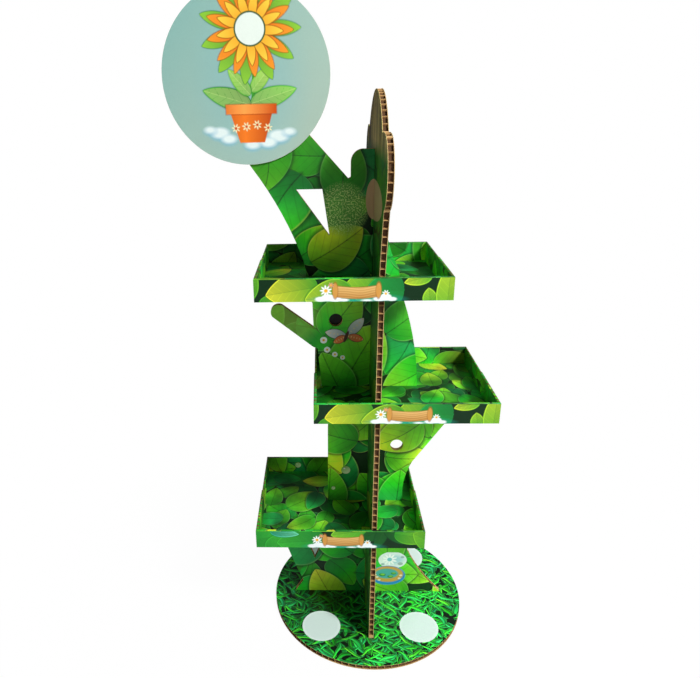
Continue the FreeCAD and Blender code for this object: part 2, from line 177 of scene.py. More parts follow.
def leaf_layer_tree():
    """One scattered layer of a leaf or grass print, laid over the colour under it.

    The plane is turned and cut into cells, each with one leaf. Along the leaf t runs from 0 at
    the stalk to 1 at the tip, and its half width is Width * LEAF_PEAK * t ** 0.5 * (1 - t) ** 0.8.
    Halves is how much brighter one half of a leaf is than the other, and Edge is the shade on
    what lies just outside its rim. To the eye it gives large overlapping leaves or fine blades.
    """
    numbers = {"Turn": 0.0, "Seed": 0.0, "Spin": FULL_TURN, "Width": 0.3, "Sway": 0.6, "Tone": 0.0,
               "Spread": 1.0, "Hue": 0.485, "Veins": 1.0, "Halves": 0.12, "Rim": 0.35,
               "Rim width": 0.028, "Edge": 0.4}
    tree = new_tree("leaf layer", [
        ("Under", "NodeSocketColor", None), ("Plane", "NodeSocketVector", None),
        ("Cell", "NodeSocketVector", None), ("Rim colour", "NodeSocketColor", paint("#C8F0A0")),
        *((label, "NodeSocketFloat", value) for label, value in numbers.items()),
    ], ("Color", "NodeSocketColor"))
    given = add(tree, "NodeGroupInput").outputs
    turned = add(tree, "ShaderNodeVectorRotate",
                 {"Vector": given["Plane"], "Angle": given["Turn"]}, rotation_type="Z_AXIS")
    scaled = add(tree, VECTOR_MATH, {0: turned, 1: given["Cell"]}, operation="DIVIDE")
    shift = add(tree, VECTOR_MATH, {0: SEED_STEP, "Scale": given["Seed"]}, operation="SCALE")
    placed = add(tree, VECTOR_MATH, {0: scaled, 1: shift})
    cell = add(tree, VECTOR_MATH, {0: placed}, operation="FLOOR")
    inside = add(tree, VECTOR_MATH, {0: placed}, operation="FRACTION")
    dice = add(tree, "ShaderNodeTexWhiteNoise", {"Vector": cell}, noise_dimensions="3D")
    throws = add(tree, "ShaderNodeSeparateColor", {0: dice.outputs["Color"]})
    first = LEAF_THROW / 2 - 0.5
    centre = add(tree, VECTOR_MATH, {0: dice.outputs["Color"], 1: (-LEAF_THROW, -LEAF_THROW, 0),
                                     2: (first, first, 0)}, operation="MULTIPLY_ADD")
    local = add(tree, VECTOR_MATH, {0: inside, 1: centre})
    angle = add(tree, MATH, {0: dice.outputs["Value"], 1: given["Spin"]}, operation="MULTIPLY")
    spun = add(tree, "ShaderNodeVectorRotate", {"Vector": local, "Angle": angle},
               rotation_type="Z_AXIS")
    axes = add(tree, SPLIT, {0: spun})
    along = axes.outputs["X"]
    share = add(tree, MAP_RANGE, {"Value": along, "From Min": -LEAF_REACH, "From Max": LEAF_REACH})
    rest = add(tree, MATH, {0: 1.0, 1: share}, operation="SUBTRACT")
    bow = add(tree, MATH, {0: share, 1: rest}, operation="MULTIPLY")
    lean = add(tree, MATH, {0: throws.outputs[0], 1: 0.5}, operation="SUBTRACT")
    sway = add(tree, MATH, {0: bow, 1: lean}, operation="MULTIPLY")
    aside = add(tree, MATH, {0: sway, 1: given["Sway"], 2: axes.outputs["Y"]},
                operation="MULTIPLY_ADD")
    across = add(tree, MATH, {0: aside}, operation="ABSOLUTE")
    root = add(tree, MATH, {0: share, 1: 0.5}, operation="POWER")
    point = add(tree, MATH, {0: rest, 1: 0.8}, operation="POWER")
    profile = add(tree, MATH, {0: root, 1: point}, operation="MULTIPLY")
    widest = add(tree, MATH, {0: given["Width"], 1: LEAF_PEAK}, operation="MULTIPLY")
    half = add(tree, MATH, {0: profile, 1: widest}, operation="MULTIPLY")
    far = add(tree, MATH, {0: along}, operation="ABSOLUTE")
    beyond = add(tree, MATH, {0: far, 1: LEAF_REACH}, operation="SUBTRACT")
    past = add(tree, MATH, {0: beyond, 1: 0.0}, operation="MAXIMUM")
    depth = add(tree, MATH, {0: half, 1: across}, operation="SUBTRACT")
    within = add(tree, MATH, {0: depth, 1: past}, operation="SUBTRACT")
    cover = add(tree, MAP_RANGE, {"Value": within, "From Min": 0.0, "From Max": LEAF_EDGE})
    shade = add(tree, MAP_RANGE, {"Value": within, "From Min": -SHADE_REACH, "From Max": 0.0,
                                  "To Min": 1.0, "To Max": given["Edge"]},
                interpolation_type="SMOOTHSTEP")
    midrib = add(tree, MAP_RANGE, {"Value": across, "From Min": 0.002, "From Max": 0.012,
                                   "To Min": 1.0, "To Max": 0.0})
    slant = add(tree, MATH, {0: along, 1: across}, operation="SUBTRACT")
    turns = add(tree, MATH, {0: slant, 1: VEINS}, operation="MULTIPLY")
    ripple = add(tree, MATH, {0: turns, 1: 0.5}, operation="PINGPONG")
    vein = add(tree, MAP_RANGE, {"Value": ripple, "From Max": 0.08, "To Min": 1.0, "To Max": 0.0})
    ribs = add(tree, MATH, {0: vein, 1: 0.4, 2: midrib}, operation="MULTIPLY_ADD")
    upper = add(tree, MATH, {0: aside, 1: 0.0}, operation="GREATER_THAN")
    rim = add(tree, MAP_RANGE, {"Value": within, "From Min": 0.006, "From Max": given["Rim width"],
                                "To Min": given["Rim"], "To Max": 0.0})
    body = add(tree, MATH, {0: share, 1: 0.25, 2: 0.82}, operation="MULTIPLY_ADD")
    sided = add(tree, MATH, {0: upper, 1: given["Halves"], 2: body}, operation="MULTIPLY_ADD")
    dents = add(tree, MATH, {0: ribs, 1: given["Veins"]}, operation="MULTIPLY")
    ribbed = add(tree, MATH, {0: dents, 1: -0.6, 2: sided}, operation="MULTIPLY_ADD")
    pick = add(tree, MATH, {0: throws.outputs[2], 1: given["Spread"], 2: given["Tone"]},
               operation="MULTIPLY_ADD")
    tone = add(tree, MATH, {0: share, 1: 0.3, 2: pick}, operation="MULTIPLY_ADD")
    green = add(tree, RAMP, {0: tone})
    set_ramp(green, LEAF_GREENS)
    cooler = add(tree, MATH, {0: throws.outputs[1], 1: 0.05, 2: given["Hue"]},
                 operation="MULTIPLY_ADD")
    tinted = add(tree, "ShaderNodeHueSaturation", {"Hue": cooler, "Color": green})
    body_colour = add(tree, VECTOR_MATH, {0: tinted, "Scale": ribbed}, operation="SCALE")
    pale = add(tree, MIX, {0: RIM_SHARE, 6: body_colour, 7: given["Rim colour"]}, data_type="RGBA")
    lit = add(tree, MIX, {0: rim, 6: body_colour, 7: pale.outputs[2]}, data_type="RGBA")
    darkened = add(tree, VECTOR_MATH, {0: given["Under"], "Scale": shade}, operation="SCALE")
    laid = add(tree, MIX, {0: cover, 6: darkened, 7: lit.outputs[2]}, data_type="RGBA")
    add(tree, "NodeGroupOutput", {0: laid.outputs[2]})
    return tree


def plane_tree():
    """Flat coordinates for a print on boxy pieces: the two object axes that lie in the face.

    Level scale makes the leaves smaller on level faces.
    """
    tree = new_tree("print plane", [("Level scale", "NodeSocketFloat", 1.0)],
                    ("Plane", "NodeSocketVector"))
    given = add(tree, "NodeGroupInput").outputs
    place = add(tree, COORDINATES).outputs
    axes = add(tree, SPLIT, {0: place["Object"]}).outputs
    facing = add(tree, VECTOR_MATH, {0: place["Normal"]}, operation="ABSOLUTE")
    tilt = add(tree, SPLIT, {0: facing}).outputs
    level = add(tree, "ShaderNodeCombineXYZ", {0: axes[0], 1: axes[1]})
    closer = add(tree, VECTOR_MATH, {0: level, "Scale": given["Level scale"]}, operation="SCALE")
    front = add(tree, "ShaderNodeCombineXYZ", {0: axes[0], 1: axes[2]})
    side = add(tree, "ShaderNodeCombineXYZ", {0: axes[1], 1: axes[2]})
    is_front = add(tree, MATH, {0: tilt[1], 1: 0.6}, operation="GREATER_THAN")
    is_level = add(tree, MATH, {0: tilt[2], 1: 0.6}, operation="GREATER_THAN")
    upright = add(tree, MIX, {0: is_front, 4: side, 5: front}, data_type="VECTOR")
    chosen = add(tree, MIX, {0: is_level, 4: upright.outputs[1], 5: closer}, data_type="VECTOR")
    add(tree, "NodeGroupOutput", {0: chosen.outputs[1]})
    return tree


leaf_layer = leaf_layer_tree()
print_plane = plane_tree()

# Settings of the stacked layers, lowest first; Cell and High are the sides of a cell in mm.
GROUND = "#052A0E"
BOARD_LEAVES = [
    {"Cell": 110, "Turn": 0.3, "Width": 0.32, "Tone": 0.1, "Spread": 0.2},
    {"Cell": 140, "Turn": 1.1, "Width": 0.32, "Tone": 0.2, "Spread": 0.3},
    {"Cell": 170, "Turn": 2.0, "Width": 0.34, "Tone": 0.25, "Spread": 0.35},
    {"Cell": 130, "Turn": 0.7, "Width": 0.32, "Tone": 0.3, "Spread": 0.35},
    {"Cell": 200, "Turn": 2.7, "Width": 0.34, "Tone": 0.35, "Spread": 0.4},
    {"Cell": 160, "Turn": 1.6, "Width": 0.31, "Tone": 0.36, "Spread": 0.35},
]
TRAY_LEAVES = [
    {"Cell": 80, "Turn": 0.2, "Width": 0.3, "Tone": 0.02, "Spread": 0.3},
    {"Cell": 105, "Turn": 1.3, "Width": 0.3, "Tone": 0.1, "Spread": 0.35},
    {"Cell": 140, "Turn": 2.2, "Width": 0.32, "Tone": 0.15, "Spread": 0.45},
    {"Cell": 100, "Turn": 0.9, "Width": 0.3, "Tone": 0.2, "Spread": 0.45},
    {"Cell": 170, "Turn": 2.9, "Width": 0.31, "Tone": 0.25, "Spread": 0.5},
    {"Cell": 120, "Turn": 1.8, "Width": 0.28, "Tone": 0.3, "Spread": 0.45},
]
GRASS_BLADES = [{"Cell": 62, "High": 27, "Turn": 0.37 * layer + 0.9 * (layer % 3), "Spin": 0.8,
                 "Width": 0.13, "Sway": 2.6, "Tone": 0.04 + 0.03 * layer, "Spread": 0.2,
                 "Hue": 0.486, "Veins": 0.0, "Halves": 1.9, "Rim": 0.4, "Rim width": 0.06,
                 "Rim colour": paint("#6CF878"), "Edge": 0.1} for layer in range(8)]


def printed_layers(tree, ground_hex, layers, seed, level_scale=1.0, swirl=0.0):
    """Stacks the leaf layers over a ground colour, each with the next seed.

    swirl bends the whole print by up to so many mm, so that its rows of cells don't show.
    """
    plane = add(tree, "ShaderNodeGroup", {"Level scale": level_scale}, node_tree=print_plane)
    if swirl:
        drift = add(tree, NOISE, {"Vector": plane, "Scale": 14.0, "Detail": 1.0})
        plane = add(tree, VECTOR_MATH, {0: drift.outputs["Color"], 1: (swirl * MM,) * 3,
                                        2: plane}, operation="MULTIPLY_ADD")
    colour = paint(ground_hex)
    for number, layer in enumerate(layers):
        settings = {"Plane": plane, "Under": colour, "Seed": seed + number, **layer}
        high = settings.pop("High", layer["Cell"])
        settings["Cell"] = (layer["Cell"] * MM, high * MM, 1)
        colour = add(tree, "ShaderNodeGroup", settings, node_tree=leaf_layer)
    return colour.outputs[0]


def new_material(name):
    """New material with its node tree and its shader."""
    material = bpy.data.materials.new(name)
    material.use_nodes = True
    tree = material.node_tree
    return material, tree, tree.nodes["Principled BSDF"]


FILM_ROUGHNESS = (0.42, 0.6)
RAW_ROUGHNESS = 0.9
CORE_CELL = 15 * MM
CORE_DENT = 0.4 * MM


def film_finish(tree, shader, colour, raw, raw_share):
    """Satin film over a print: uneven gloss and the core's cells showing faintly through it.

    The print comes out in lighter and darker clouds. Where raw_share is 1 the surface is the raw
    colour instead, matt like cut paper.
    """
    place = add(tree, COORDINATES).outputs["Object"]
    sheen = add(tree, NOISE, {"Vector": place, "Scale": 9.0, "Detail": 3.0})
    gloss = add(tree, MAP_RANGE, {"Value": sheen.outputs[0], "To Min": FILM_ROUGHNESS[0],
                                  "To Max": FILM_ROUGHNESS[1]})
    cells = add(tree, "ShaderNodeTexVoronoi", {"Vector": place, "Scale": 1 / CORE_CELL,
                                               "Randomness": 0.35})
    bump = add(tree, "ShaderNodeBump", {"Strength": 0.12, "Distance": CORE_DENT,
                                        "Height": cells.outputs[0]})
    uneven = add(tree, NOISE, {"Vector": place, "Scale": 9.0, "Detail": 4.0, "Roughness": 0.65})
    level = add(tree, MAP_RANGE, {"Value": uneven.outputs[0], "From Min": 0.3, "From Max": 0.7,
                                  "To Min": 0.68, "To Max": 1.26})
    printed = add(tree, VECTOR_MATH, {0: colour, "Scale": level}, operation="SCALE")
    seen = add(tree, MIX, {0: raw_share, 6: printed, 7: raw}, data_type="RGBA")
    rough = add(tree, MIX, {0: raw_share, 2: gloss, 3: RAW_ROUGHNESS}, data_type="FLOAT")
    feed(tree, shader, {"Base Color": seen.outputs[2], "Roughness": rough, "Normal": bump})


# Depth in mm into the cut edge at which the cells' painted shade is darkest
CELL_DEPTH_MM = 5.0


def kraft_edge(tree):
    """Cut honeycomb edge: tan paper at the lips of the cells, and painted shade of dark brown on
    their floors.

    Gives the raw colour and the share that is 1 wherever the surface lies below the liner.
    """
    place = add(tree, COORDINATES).outputs["Object"]
    depth = add(tree, "ShaderNodeAttribute", attribute_name="edge_depth").outputs["Fac"]
    below = add(tree, "ShaderNodeAttribute", attribute_name="face_depth").outputs["Fac"]
    fibre = add(tree, NOISE, {"Vector": place, "Scale": 900.0, "Detail": 2.0})
    inward = add(tree, MAP_RANGE, {"Value": depth, "From Max": CELL_DEPTH_MM})
    # Tan paper at the cells' lips, deepening to dark brown towards their floors as painted shade
    kraft_and_cell_shade = add(tree, RAMP, {0: inward})
    set_ramp(kraft_and_cell_shade, [(0.0, "#D8B27C"), (0.2, "#B58D54"), (0.45, "#805C32"), (1.0, "#54381E")])
    grain = add(tree, MAP_RANGE, {"Value": fibre.outputs[0], "From Min": 0.3, "From Max": 0.7,
                                  "To Min": 0.75, "To Max": 1.15})
    raw = add(tree, VECTOR_MATH, {0: kraft_and_cell_shade, "Scale": grain}, operation="SCALE")
    is_raw = add(tree, MAP_RANGE, {"Value": below, "From Min": 0.12, "From Max": 0.2})
    return raw.outputs[0], is_raw.outputs[0]


def spot(tree, place, centre, inner, outer):
    """Share that is 1 within the inner radius of a point and falls to 0 at the outer one."""
    offset = add(tree, VECTOR_MATH, {0: place, 1: centre}, operation="SUBTRACT")
    away = add(tree, VECTOR_MATH, {0: offset}, operation="LENGTH")
    return add(tree, MAP_RANGE, {"Value": away.outputs["Value"], "From Min": inner,
                                 "From Max": outer, "To Min": 1.0, "To Max": 0.0})


def grass_board_print():
    """Laminated grass print: crossing blades with bright rims, and painted shade on the base left
    of the boards.
    """
    material, tree, shader = new_material("laminated_honeycomb_board_grass_print")
    colour = printed_layers(tree, "#031C0A", GRASS_BLADES, 3, swirl=50.0)
    place = add(tree, COORDINATES).outputs["Object"]
    # Painted shade: the base darkens round a spot left of the spine board, at the foot of the tree
    # board, where the boards shade it
    corner = spot(tree, place, (-0.12, 0.0, 0.012), 0.07, 0.26)
    dim = add(tree, MAP_RANGE, {"Value": corner, "To Min": 1.0, "To Max": 0.3})
    shaded = add(tree, VECTOR_MATH, {0: colour, "Scale": dim}, operation="SCALE")
    film_finish(tree, shader, shaded.outputs[0], *kraft_edge(tree))
    return material


CROWN_FOOT = (1.165, 1.195)     # heights between which the bark sets in
# Painted shade: share of its colour that the left face keeps
LEFT_FACE_PAINTED_SHADE = 0.35


def spine_board_print():
    """Laminated leaf print with painted shade on the left face, where the crown has a streaky bark
    print.
    """
    material, tree, shader = new_material("laminated_honeycomb_board_leaf_and_bark_print")
    colour = printed_layers(tree, GROUND, BOARD_LEAVES, 31)
    place = add(tree, COORDINATES).outputs
    axes = add(tree, SPLIT, {0: place["Object"]}).outputs
    facing = add(tree, SPLIT, {0: place["Normal"]}).outputs
    high = add(tree, MAP_RANGE, {"Value": axes[2], "From Min": CROWN_FOOT[0],
                                 "From Max": CROWN_FOOT[1]})
    left = add(tree, MATH, {0: facing[0], 1: -0.5}, operation="LESS_THAN")
    on_crown = add(tree, MATH, {0: high, 1: left}, operation="MULTIPLY")
    # Painted shade on the left face, which the key light leaves in shade
    dim = add(tree, MAP_RANGE, {"Value": left, "To Min": 1.0, "To Max": LEFT_FACE_PAINTED_SHADE})
    shaded = add(tree, VECTOR_MATH, {0: colour, "Scale": dim}, operation="SCALE")
    stretched = add(tree, VECTOR_MATH, {0: place["Object"], 1: (1.0, 18.0, 3.0)},
                    operation="MULTIPLY")
    streaks = add(tree, NOISE, {"Vector": stretched, "Scale": 1.0, "Detail": 4.0})
    bark = add(tree, RAMP, {0: streaks.outputs[0]})
    set_ramp(bark, [(0.35, "#5A4A1E"), (0.5, "#8E7E3C"), (0.65, "#CDB970")])
    mixed = add(tree, MIX, {0: on_crown, 6: shaded, 7: bark}, data_type="RGBA")
    film_finish(tree, shader, mixed.outputs[2], *kraft_edge(tree))
    return material


# Paler or darker spots on the tree board: centre and two radii in m, gain by channel.
# The second is painted light, lifting a spot that lies in shade.
TREE_SPOTS_AND_PAINTED_LIGHT = (
    ((0.1, 0.0, 0.47), 0.04, 0.15, (2.4, 1.7, 1.2)),
    ((-0.07, 0.0, 0.44), 0.03, 0.12, (2.8, 1.9, 1.3)),
    ((-0.15, 0.0, 1.01), 0.02, 0.09, (3.6, 1.7, 1.0)),
    ((-0.2, 0.0, 1.14), 0.05, 0.1, (0.3, 0.75, 0.4)))
BRANCH_FOOT = (0.95, 1.12)      # heights between which the colour darkens upwards
BRANCH_LEVEL = 0.6
TONE_COVER = 0.8


def tree_board_print():
    """Laminated leaf print, darker on the branch and paler in spots, two of them painted light,
    one of them with flecks of painted glare.
    """
    material, tree, shader = new_material("laminated_honeycomb_board_leaf_print")
    colour = printed_layers(tree, GROUND, BOARD_LEAVES, 17)
    place = add(tree, COORDINATES).outputs["Object"]
    height = add(tree, SPLIT, {0: place}).outputs[2]
    dusk = add(tree, MAP_RANGE, {"Value": height, "From Min": BRANCH_FOOT[0],
                                 "From Max": BRANCH_FOOT[1], "To Min": 1.0,
                                 "To Max": BRANCH_LEVEL}, interpolation_type="SMOOTHSTEP")
    colour = add(tree, VECTOR_MATH, {0: colour, "Scale": dusk}, operation="SCALE").outputs[0]
    for centre, inner, outer, gain in TREE_SPOTS_AND_PAINTED_LIGHT:
        share = spot(tree, place, centre, inner, outer)
        lifted = add(tree, VECTOR_MATH, {0: colour, 1: gain}, operation="MULTIPLY")
        colour = add(tree, MIX, {0: share, 6: colour, 7: lifted}, data_type="RGBA").outputs[2]
    # Painted light on the branch: a paler patch over a spot in shade, flecked with painted glints
    # of glare on the film
    glint_noise = add(tree, NOISE, {"Vector": place, "Scale": 330.0, "Detail": 1.0})
    flecks = add(tree, MAP_RANGE, {"Value": glint_noise.outputs[0], "From Min": 0.5, "From Max": 0.6})
    twig = spot(tree, place, (-0.2, 0.0, 0.82), 0.06, 0.09)
    branch = spot(tree, place, (-0.072, 0.0, 1.055), 0.04, 0.06)
    painted_glints = add(tree, MATH, {0: branch, 1: flecks}, operation="MULTIPLY")
    for share, most, tone in ((twig, 0.5, "#96D63C"), (branch, TONE_COVER, "#5FA63E"),
                              (painted_glints, TONE_COVER, "#D6F292")):
        weight = add(tree, MATH, {0: share, 1: most}, operation="MULTIPLY")
        toned = add(tree, MIX, {0: weight, 6: colour, 7: paint(tone)}, data_type="RGBA")
        colour = toned.outputs[2]
    film_finish(tree, shader, colour, *kraft_edge(tree))
    return material


FLUTE_HEIGHT = 1.6 * MM         # how far down from a wall's top the raw flutes show


def tray_print(tray, seed):
    """Laminated leaf print on corrugated board; raw flutes show along the side walls' tops."""
    material, tree, shader = new_material("laminated_corrugated_board_leaf_print_" + tray)
    colour = printed_layers(tree, GROUND, TRAY_LEAVES, seed, 1.3)
    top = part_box(tray)[1][2]
    place = add(tree, COORDINATES).outputs
    cloud = add(tree, NOISE, {"Vector": place["Object"], "Scale": 11.0, "Detail": 2.0})
    depth = add(tree, MAP_RANGE, {"Value": cloud.outputs[0], "From Min": 0.38, "From Max": 0.62,
                                  "To Min": 0.3, "To Max": 1.1})
    shaded = add(tree, VECTOR_MATH, {0: colour, "Scale": depth}, operation="SCALE")
    axes = add(tree, SPLIT, {0: place["Object"]}).outputs
    facing = add(tree, VECTOR_MATH, {0: place["Normal"]}, operation="ABSOLUTE")
    tilt = add(tree, SPLIT, {0: facing}).outputs
    side = add(tree, MATH, {0: tilt[1], 1: 0.3}, operation="LESS_THAN")
    high = add(tree, MATH, {0: axes[2], 1: float(top) - FLUTE_HEIGHT}, operation="GREATER_THAN")
    dashes = add(tree, NOISE, {"W": axes[1], "Scale": 140.0, "Detail": 1.0}, noise_dimensions="1D")
    open_flute = add(tree, MAP_RANGE, {"Value": dashes.outputs[0], "From Min": 0.5,
                                       "From Max": 0.56})
    at_top = add(tree, MATH, {0: side, 1: high}, operation="MULTIPLY")
    share = add(tree, MATH, {0: at_top, 1: open_flute}, operation="MULTIPLY")
    film_finish(tree, shader, shaded.outputs[0], paint("#6E4A26"), share.outputs[0])
    return material


# Boards: merged copies of the CAD nodes that also know how deep in the cut edge a point lies

TOUCH_MM = 0.01


def outline_distance(points, starts, ends):
    """Distance of each point from the nearest segment, all as flat coordinates.

    The foot of the perpendicular is clipped to the segment's share from 0 to 1.
    """
    run = ends - starts
    length = np.maximum((run ** 2).sum(1), 1e-12)
    offset = points[:, None] - starts[None]
    share = np.clip((offset * run[None]).sum(2) / length, 0, 1)
    return np.sqrt(((offset - share[:, :, None] * run[None]) ** 2).sum(2).min(1))


def dressed_board(node, thin_axis, material):
    """Puts a copy of a board in its place that carries two depths at each point, in mm.

    edge_depth counts inwards from the liner's outline, and face_depth down from the liner.
    """
    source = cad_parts[node]
    mesh = source.data.copy()
    mesh.name = node + "_printed"
    shell = bmesh.new()
    shell.from_mesh(mesh)
    bmesh.ops.remove_doubles(shell, verts=shell.verts, dist=TOUCH_MM * MM)
    shell.to_mesh(mesh)
    shell.free()
    points = np.empty(len(mesh.vertices) * 3)
    mesh.vertices.foreach_get("co", points)
    points = points.reshape(-1, 3) / MM
    middle = (points[:, thin_axis].min() + points[:, thin_axis].max()) / 2
    half = points[:, thin_axis].max() - middle
    below = half - np.abs(points[:, thin_axis] - middle)
    flat = np.delete(points, thin_axis, axis=1)
    corners = np.empty(len(mesh.polygons) * 3, dtype=int)
    mesh.polygons.foreach_get("vertices", corners)
    corners = corners.reshape(-1, 3)
    normals = np.empty(len(mesh.polygons) * 3)
    mesh.polygons.foreach_get("normal", normals)
    on_side = corners[np.abs(normals.reshape(-1, 3)[:, thin_axis]) < 0.5]
    pairs = np.concatenate([on_side[:, [0, 1]], on_side[:, [1, 2]], on_side[:, [2, 0]]])
    rim = pairs[(below[pairs] < TOUCH_MM).all(axis=1)]
    deep = np.zeros(len(points))
    inner = below > TOUCH_MM
    deep[inner] = outline_distance(flat[inner], flat[rim[:, 0]], flat[rim[:, 1]])
    for label, values in (("edge_depth", deep), ("face_depth", below)):
        attribute = mesh.attributes.new(label, "FLOAT", "POINT")
        attribute.data.foreach_set("value", values.astype(np.float32))
    mesh.materials.clear()
    mesh.materials.append(material)
    piece = new_object(node + "_printed", mesh)
    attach(piece, "root")
    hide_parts(node)


dressed_board("base_disc", 2, grass_board_print())
dressed_board("spine_board", 0, spine_board_print())
dressed_board("tree_board", 1, tree_board_print())
for tray, seed in (("top_tray", 111), ("middle_tray", 222), ("bottom_tray", 333)):
    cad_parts[tray].material_slots[0].material = tray_print(tray, seed)


# Printed pictures: flat grids whose points carry the ink

# Rightward and upward directions on a face
FRONT = ((1, 0, 0), (0, 0, 1))
TOP = ((1, 0, 0), (0, 1, 0))


def new_print(name, points, faces, ink):
    """Adds a print to the stand, with the linear ink colour of each of its points."""
    mesh = bpy.data.meshes.new(name)
    mesh.from_pydata(points.tolist(), [], faces)
    colours = mesh.color_attributes.new("ink", "FLOAT_COLOR", "POINT")
    colours.data.foreach_set("color", np.column_stack([ink, np.ones(len(ink))]).ravel())
    mesh.materials.append(picture_ink)
    mesh.update()
    piece = new_object(name, mesh)
    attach(piece, "root")


def grid_faces(rows, columns):
    """Quads of a grid of rows by columns points, anticlockwise as rows and columns rise."""
    corner = (np.arange(rows - 1)[:, None] * columns + np.arange(columns - 1)).ravel()
    return np.stack([corner, corner + 1, corner + columns + 1, corner + columns], axis=1)


def on_face(across, rise, origin, right, up, lift):
    """Points origin + right * across + up * rise, lifted off the face; all in mm, result in m."""
    right, up = np.array(right, float), np.array(up, float)
    normal = np.cross(right, up)
    normal /= np.linalg.norm(normal)
    flat = across.ravel()[:, None] * right + rise.ravel()[:, None] * up
    return (np.array(origin, float) + flat + normal * lift) * MM


INK_ROUGHNESS = 0.42
TOOTH_ROUGHNESS = 0.06


def ink_material():
    """Satin offset ink on coated paper: the picture's own colours with a faint paper tooth."""
    material, tree, shader = new_material("satin_offset_ink_on_paper")
    place = add(tree, COORDINATES).outputs["Object"]
    ink = add(tree, "ShaderNodeAttribute", attribute_name="ink")
    tooth = add(tree, NOISE, {"Vector": place, "Scale": 400.0, "Detail": 3.0})
    level = add(tree, MAP_RANGE, {"Value": tooth.outputs[0], "To Min": 0.96, "To Max": 1.04})
    toned = add(tree, VECTOR_MATH, {0: ink.outputs["Color"], "Scale": level}, operation="SCALE")
    rough = add(tree, MAP_RANGE, {"Value": tooth.outputs[0],
                                  "To Min": INK_ROUGHNESS - TOOTH_ROUGHNESS,
                                  "To Max": INK_ROUGHNESS + TOOTH_ROUGHNESS})
    feed(tree, shader, {"Base Color": toned, "Roughness": rough, "Specular IOR Level": 0.3})
    return material


picture_ink = ink_material()


def lay(ink, distance, colour, soft=0.8, strength=1.0):
    """Lays a hex colour or an ink where distance, in mm, is below 0, fading over soft mm."""
    if isinstance(colour, str):
        colour = linear(colour)
    share = strength * np.clip(0.5 - distance / soft, 0, 1)[:, None]
    ink += share * (colour - ink)


def ellipse(x, y, centre, radii, turn=0.0):
    """Rough distance from an ellipse: its unit-circle distance times the smaller radius."""
    dx, dy = x - centre[0], y - centre[1]
    along = dx * math.cos(turn) + dy * math.sin(turn)
    across = dy * math.cos(turn) - dx * math.sin(turn)
    return (np.hypot(along / radii[0], across / radii[1]) - 1) * min(radii)


PETAL_PEAK = 2.4        # brings the petal's profile to a height of about half_width


def petal(x, y, base, angle, length, half_width, round_base=0.5):
    """Distance from a petal, the share t along it and the place across it.

    The half width is half_width * PETAL_PEAK * t ** round_base * (1 - t) ** 0.8.
    """
    dx, dy = x - base[0], y - base[1]
    along = (dx * math.cos(angle) + dy * math.sin(angle)) / length
    across = dy * math.cos(angle) - dx * math.sin(angle)
    share = np.clip(along, 0, 1)
    half = half_width * PETAL_PEAK * share ** round_base * (1 - share) ** 0.8
    return np.abs(across) - half + np.maximum(np.abs(along - 0.5) - 0.5, 0) * length, share, across


def blend(low, high, share):
    """Ink that goes from one colour to the other as the share at a point rises from 0 to 1."""
    return linear(low) + share[:, None] * (linear(high) - linear(low))


def leaf_ink(ink, x, y, base, angle, length, half_width, low, high, vein="#1E6B22"):
    """Lays one leaf with a soft shadow, a tone rising to its tip, a light rim and dark veins."""
    distance, share, across = petal(x, y, base, angle, length, half_width)
    lay(ink, distance - 0.6, "#0A3A14", 4.0, 0.7)
    tone = blend(low, high, share)
    lay(ink, distance, tone * (1.0 + 0.08 * np.sign(across))[:, None])
    lay(ink, np.abs(distance + 1.4) - 0.7, tone * 1.3)
    lay(ink, np.maximum(np.abs(across) - 0.35, distance + 2), vein, 0.8, 0.6)
    gap = length / 6
    rest = (share * length - np.abs(across)) % gap
    slant = np.abs(rest - gap / 2) - gap / 2 + 0.3
    lay(ink, np.maximum(slant, distance + 2), vein, 0.8, 0.35)


def daisy_ink(ink, x, y, centre, reach, petals=9, hue="#F6FAF8", heart="#F2B22A"):
    """Lays a small flower: petals round a heart."""
    for number in range(petals):
        angle = FULL_TURN * number / petals + 0.3
        distance = petal(x, y, centre, angle, reach, reach * 0.2, 1.0)[0]
        lay(ink, distance - 0.3, "#8FB4B0", 1.2, 0.6)
        lay(ink, distance, hue)
    lay(ink, ellipse(x, y, centre, (reach * 0.3, reach * 0.3)), heart)


